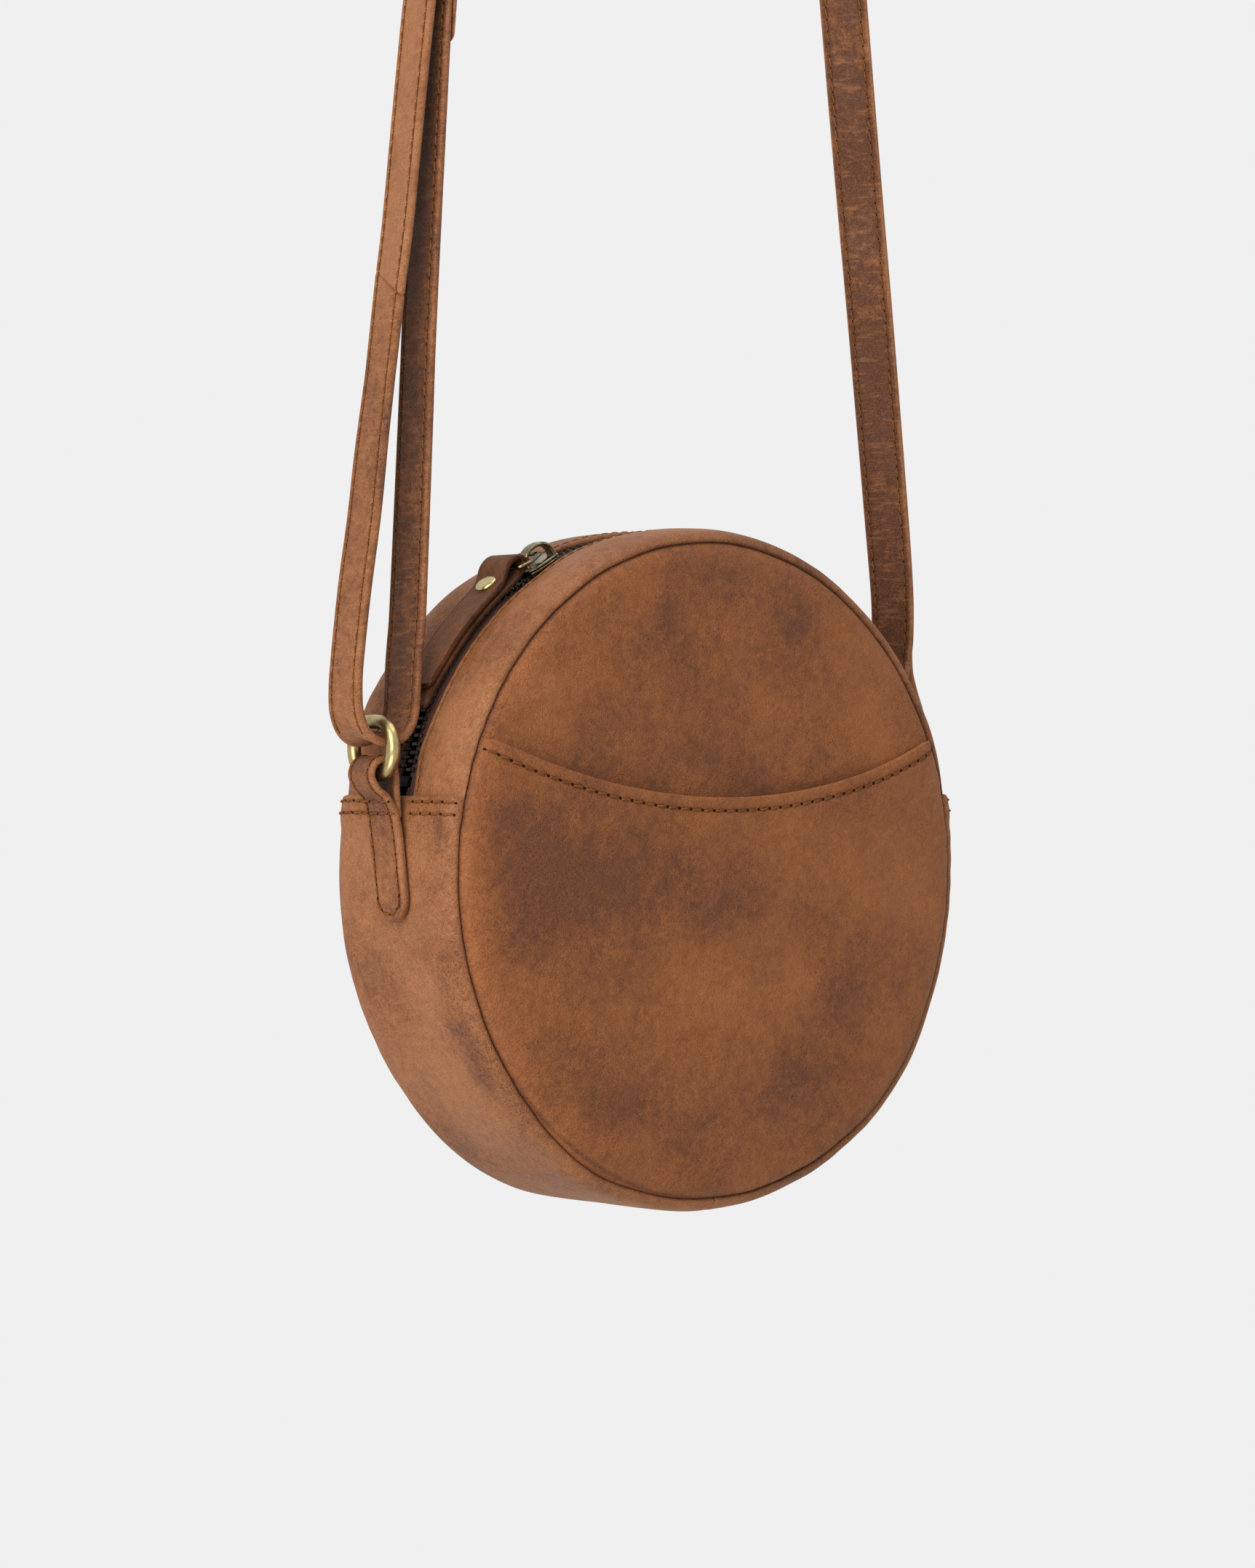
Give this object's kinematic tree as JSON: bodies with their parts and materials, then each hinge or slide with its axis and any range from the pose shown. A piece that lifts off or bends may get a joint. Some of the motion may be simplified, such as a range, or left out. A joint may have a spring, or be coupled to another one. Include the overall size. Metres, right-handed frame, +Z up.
{
  "type": "round shoulder bag",
  "caption": "Round leather shoulder bag with a zip round its top, a curved slip pocket on the front, a leather zip puller, and a strap on oval rings with a sliding buckle.",
  "frame": {"origin": "underside of the shoulder strap's crown, where the bag hangs, on the bag's middle plane", "axes": "+Z up, the front with the slip pocket faces -Y, +X to the right as seen from the front"},
  "size_m": [0.2298, 0.061, 0.4566],
  "materials": {
    "bag_leather": "oiled, waxy, matt",
    "strap_leather": "oiled, waxy, matt",
    "antique_brass": "antique satin",
    "zip_brass": "antique satin",
    "zip_tape": "woven tape",
    "lining": "plain woven cloth"
  },
  "bodies": {
    "strap": {"shoulder_strap": "strap_leather", "strap_lower": "strap_leather", "strap_tail": "strap_leather"},
    "left_ring": {"ring_left": "antique_brass"},
    "right_ring": {"ring_right": "antique_brass"},
    "bag": {"front_panel": "bag_leather", "front_pocket": "bag_leather", "back_panel": "bag_leather", "gusset_lower_left": "bag_leather", "gusset_lower_right": "bag_leather", "gusset_top_front": "bag_leather", "gusset_top_back": "bag_leather", "zip_tape_front": "zip_tape", "zip_tape_back": "zip_tape", "zip_teeth_front": "zip_brass", "zip_teeth_back": "zip_brass", "zip_stops": "zip_brass", "tab_left": "bag_leather", "tab_right": "bag_leather", "lining_front": "lining", "lining_back": "lining", "lining_lower": "lining", "lining_top_front": "lining", "lining_top_back": "lining"},
    "zip_slider": {"zip_slider_body": "zip_brass"},
    "pull_link": {"pull_link": "zip_brass"},
    "puller": {"puller_leather": "bag_leather", "puller_rivet": "antique_brass"},
    "strap_buckle": {"strap_buckle_frame": "antique_brass", "strap_buckle_bar": "antique_brass"}
  },
  "joints": [
    {"name": "left_ring_swing", "type": "hinge", "parent": "strap", "child": "left_ring", "pos_m": [-0.1053, 0, -0.3112], "axis": [0, 1, 0], "range_deg": [-5, 5]},
    {"name": "bag_level", "type": "hinge", "parent": "left_ring", "child": "bag", "pos_m": [-0.1053, 0, -0.3262], "axis": [0, 1, 0], "range_deg": [-5, 5]},
    {"name": "right_ring_swing", "type": "hinge", "parent": "strap", "child": "right_ring", "pos_m": [0.1053, 0, -0.3112], "axis": [0, 1, 0], "range_deg": [-5, 5]},
    {"name": "zip_slide", "type": "hinge", "parent": "bag", "child": "zip_slider", "pos_m": [0, 0, -0.354], "axis": [0, 1, 0], "range_deg": [0, 84]},
    {"name": "link_flip", "type": "hinge", "parent": "zip_slider", "child": "pull_link", "pos_m": [-0.04724, 0, -0.26129], "axis": [0, 1, 0], "range_deg": [0, 72.2]},
    {"name": "puller_flip", "type": "hinge", "parent": "pull_link", "child": "puller", "pos_m": [-0.05693, 0, -0.26691], "axis": [0, 1, 0], "range_deg": [-77.8, 0]},
    {"name": "strap_adjust", "type": "slide", "parent": "strap", "child": "strap_buckle", "axis": [-0.1374, 0, -0.9905], "range_m": [0, 0.1], "deforming": ["strap_tail"]}
  ],
  "couplings": [
    {"joint": "bag_level", "follows": "left_ring_swing", "ratio": -1},
    {"joint": "right_ring_swing", "follows": "left_ring_swing", "ratio": 1},
    {"joint": "link_flip", "follows": "puller_flip", "ratio": -0.926}
  ]
}
